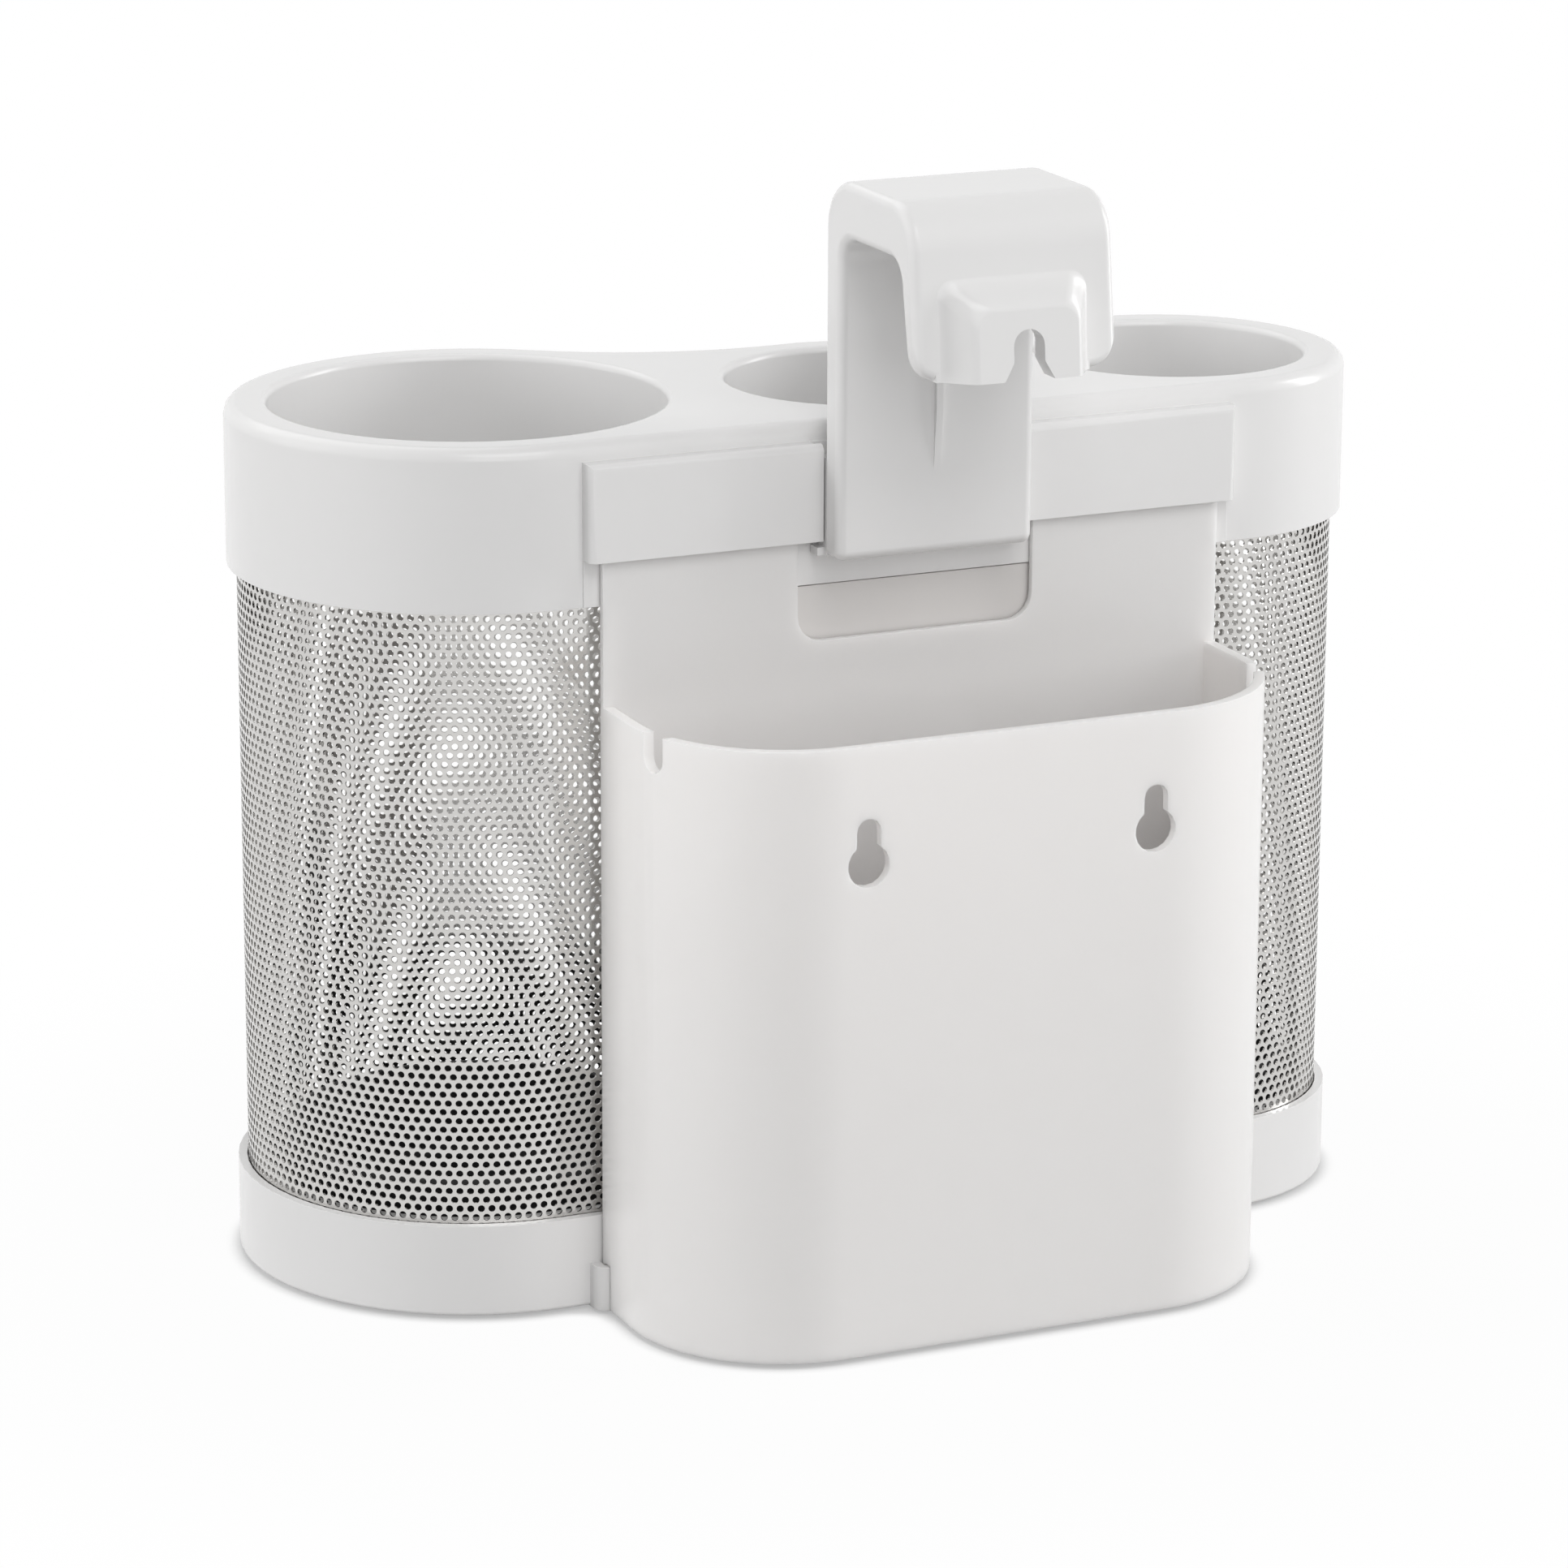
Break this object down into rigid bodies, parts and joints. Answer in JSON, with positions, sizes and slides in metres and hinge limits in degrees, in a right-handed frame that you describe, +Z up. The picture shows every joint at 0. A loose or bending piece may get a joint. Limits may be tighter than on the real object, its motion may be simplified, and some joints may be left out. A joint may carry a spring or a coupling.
{
  "type": "hair styling tool holder",
  "caption": "White three-lobed holder for hot hair tools with a perforated steel sleeve, heat-proof cups, a rear cord bin and a sliding hook for a towel bar.",
  "frame": {"origin": "on the floor under the rubber feet, in the middle of the overall width and depth", "axes": "+Z up, +Y out of the cord bin's rear wall, +X towards the large compartment"},
  "size_m": [0.265, 0.1668, 0.256],
  "materials": {
    "white_plastic": "moulded, glossy",
    "bin_plastic": "moulded, glossy, a little warmer",
    "stainless_sheet": "bright rolled stainless sheet",
    "black_silicone": "matt silicone",
    "screw_steel": "plain steel",
    "foot_rubber": "matt rubber"
  },
  "bodies": {
    "holder": {"top_housing": "white_plastic", "perforated_sleeve": "stainless_sheet", "base_tray": "white_plastic", "rear_spine": "white_plastic", "cord_bin": "bin_plastic", "spine_screw_upper_large_side": "screw_steel", "spine_screw_upper_small_side": "screw_steel", "spine_screw_lower_large_side": "screw_steel", "spine_screw_lower_small_side": "screw_steel", "rubber_foot_large_front": "foot_rubber", "rubber_foot_large_rear": "foot_rubber", "rubber_foot_small_front": "foot_rubber", "rubber_foot_small_rear": "foot_rubber"},
    "hook": {"hanging_hook": "white_plastic"},
    "cup_large": {"heat_cup_large": "black_silicone"},
    "cup_middle": {"heat_cup_middle": "black_silicone"},
    "cup_small": {"heat_cup_small": "black_silicone"}
  },
  "joints": [
    {"name": "hook_slide", "type": "slide", "parent": "holder", "child": "hook", "axis": [0, 0, 1], "range_m": [-0.0195, 0.001]},
    {"name": "cup_large_lift", "type": "slide", "parent": "holder", "child": "cup_large", "axis": [0, 0, 1], "range_m": [0, 0.2]},
    {"name": "cup_middle_lift", "type": "slide", "parent": "holder", "child": "cup_middle", "axis": [0, 0, 1], "range_m": [0, 0.2]},
    {"name": "cup_small_lift", "type": "slide", "parent": "holder", "child": "cup_small", "axis": [0, 0, 1], "range_m": [0, 0.2]}
  ]
}
